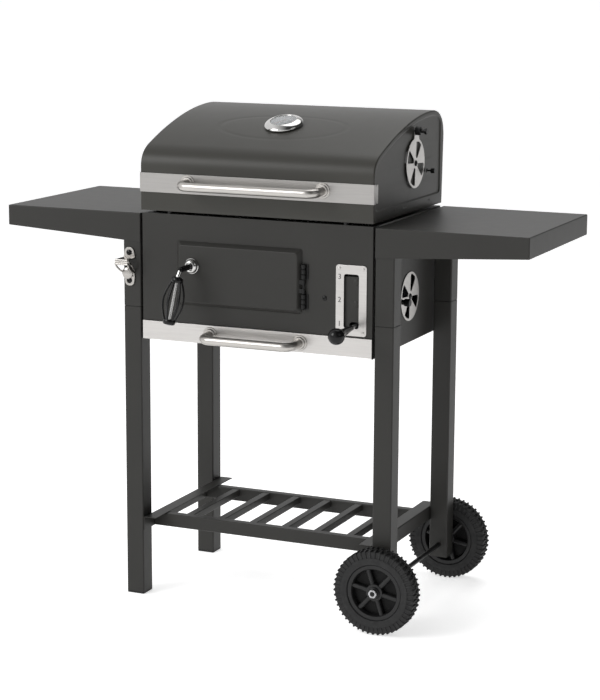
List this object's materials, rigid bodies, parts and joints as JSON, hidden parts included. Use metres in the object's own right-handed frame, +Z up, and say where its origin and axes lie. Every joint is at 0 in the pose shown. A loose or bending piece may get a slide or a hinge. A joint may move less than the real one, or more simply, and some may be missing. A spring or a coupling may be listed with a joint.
{
  "type": "charcoal trolley barbecue",
  "caption": "Charcoal trolley barbecue: hinged lid over a rectangular firebox, fuel door, ash drawer, side tables, slatted shelf, square legs and cart wheels.",
  "frame": {"origin": "centre of the bounding box in X and Y, at floor level in Z", "axes": "+Z up, +X to the right when facing the front, the front (lid handle, fuel door, ash drawer) at -Y"},
  "size_m": [1.15, 0.534, 1.0227],
  "materials": {
    "anthracite_paint": "satin powder coat, fine texture",
    "lid_paint": "satin heat-resistant coat, fine texture",
    "black_paint": "satin",
    "enamel": "glossy enamel",
    "stainless_steel": "brushed",
    "chrome_plate": "polished",
    "zinc_plate": "satin zinc",
    "black_plastic": "moulded, lightly grained",
    "tyre": "matt, moulded lugs",
    "stop_rubber": "matt",
    "dial_glass": "clear"
  },
  "bodies": {
    "cart": {"firebox_shell": "anthracite_paint", "lid_stop_left": "stop_rubber", "lid_stop_right": "stop_rubber", "upper_leg_front_left": "anthracite_paint", "upper_leg_front_right": "anthracite_paint", "upper_leg_back_left": "anthracite_paint", "upper_leg_back_right": "anthracite_paint", "lower_leg_front_left": "anthracite_paint", "lower_leg_front_right": "anthracite_paint", "lower_leg_back_left": "anthracite_paint", "lower_leg_back_right": "anthracite_paint", "foot_front_left": "black_plastic", "foot_back_left": "black_plastic", "side_table_left": "anthracite_paint", "side_table_right": "anthracite_paint", "shelf_rail_left": "anthracite_paint", "shelf_rail_right": "anthracite_paint", "shelf_grid": "anthracite_paint", "wheel_axle": "black_paint", "lid_hinge_base_left": "zinc_plate", "lid_hinge_base_right": "zinc_plate", "door_hinge_lower": "black_paint", "door_hinge_upper": "black_paint", "drawer_runner_left": "zinc_plate", "drawer_runner_right": "zinc_plate", "gauge_plate": "stainless_steel", "bottle_opener": "chrome_plate"},
    "lid": {"lid_shell": "lid_paint", "lid_band": "stainless_steel", "lid_handle": "stainless_steel", "thermometer_case": "chrome_plate", "thermometer_glass": "dial_glass", "thermometer_stem": "zinc_plate", "lid_pin_left": "black_plastic", "lid_pin_right": "black_plastic", "lid_hinge_leaf_left": "zinc_plate", "lid_hinge_leaf_right": "zinc_plate"},
    "left_lid_vent": {"lid_vent_left": "stainless_steel"},
    "right_lid_vent": {"lid_vent_right": "stainless_steel"},
    "left_box_vent": {"firebox_vent_left": "stainless_steel"},
    "right_box_vent": {"firebox_vent_right": "stainless_steel"},
    "door": {"fuel_door": "anthracite_paint", "door_rosette": "chrome_plate"},
    "door_handle": {"door_handle_rod": "chrome_plate", "grip_collar": "black_plastic", "grip_cage": "black_plastic"},
    "drawer": {"ash_tray": "zinc_plate", "ash_drawer_front": "stainless_steel", "ash_drawer_handle": "stainless_steel"},
    "lift": {"lift_frame": "black_paint", "charcoal_pan": "enamel"},
    "lever": {"lift_lever": "zinc_plate", "lever_knob": "black_plastic"},
    "front_wheel": {"tyre_front": "tyre", "wheel_front": "black_plastic"},
    "back_wheel": {"tyre_back": "tyre", "wheel_back": "black_plastic"},
    "left_grate": {"cooking_grate_left": "enamel"},
    "right_grate": {"cooking_grate_right": "enamel"}
  },
  "joints": [
    {"name": "lid_hinge", "type": "hinge", "parent": "cart", "child": "lid", "pos_m": [0, 0.235, 0.821], "axis": [-1, 0, 0], "range_deg": [0, 95]},
    {"name": "lid_vent_left_turn", "type": "hinge", "parent": "lid", "child": "left_lid_vent", "pos_m": [-0.2575, 0.064, 0.9225], "axis": [-1, 0, 0], "range_deg": [0, 45]},
    {"name": "lid_vent_right_turn", "type": "hinge", "parent": "lid", "child": "right_lid_vent", "pos_m": [0.2575, 0.064, 0.9225], "axis": [-1, 0, 0], "range_deg": [0, 45]},
    {"name": "firebox_vent_left_turn", "type": "hinge", "parent": "cart", "child": "left_box_vent", "pos_m": [-0.2558, 0.048, 0.65], "axis": [-1, 0, 0], "range_deg": [0, 45]},
    {"name": "firebox_vent_right_turn", "type": "hinge", "parent": "cart", "child": "right_box_vent", "pos_m": [0.2558, 0.048, 0.65], "axis": [-1, 0, 0], "range_deg": [0, 45]},
    {"name": "fuel_door_hinge", "type": "hinge", "parent": "cart", "child": "door", "pos_m": [0.109, -0.16, 0.69], "axis": [0, 0, 1], "range_deg": [0, 110]},
    {"name": "door_handle_turn", "type": "hinge", "parent": "door", "child": "door_handle", "pos_m": [-0.137, -0.165, 0.716], "axis": [0, 1, 0], "range_deg": [0, 90]},
    {"name": "ash_drawer_slide", "type": "slide", "parent": "cart", "child": "drawer", "axis": [0, -1, 0], "range_m": [0, 0.3]},
    {"name": "charcoal_lift", "type": "slide", "parent": "cart", "child": "lift", "axis": [0, 0, 1], "range_m": [0, 0.087]},
    {"name": "lift_lever_swing", "type": "hinge", "parent": "lift", "child": "lever", "pos_m": [0.219, -0.095, 0.618], "axis": [0, 0, -1], "range_deg": [0, 6]},
    {"name": "front_wheel_spin", "type": "hinge", "parent": "cart", "child": "front_wheel", "pos_m": [0.282, -0.18, 0.0875], "axis": [0, 1, 0], "continuous": true},
    {"name": "back_wheel_spin", "type": "hinge", "parent": "cart", "child": "back_wheel", "pos_m": [0.282, 0.243, 0.0875], "axis": [0, 1, 0], "continuous": true},
    {"name": "left_grate_lift_off", "type": "slide", "parent": "cart", "child": "left_grate", "axis": [0, 0, 1], "range_m": [0, 0.1]},
    {"name": "right_grate_lift_off", "type": "slide", "parent": "cart", "child": "right_grate", "axis": [0, 0, 1], "range_m": [0, 0.1]}
  ]
}
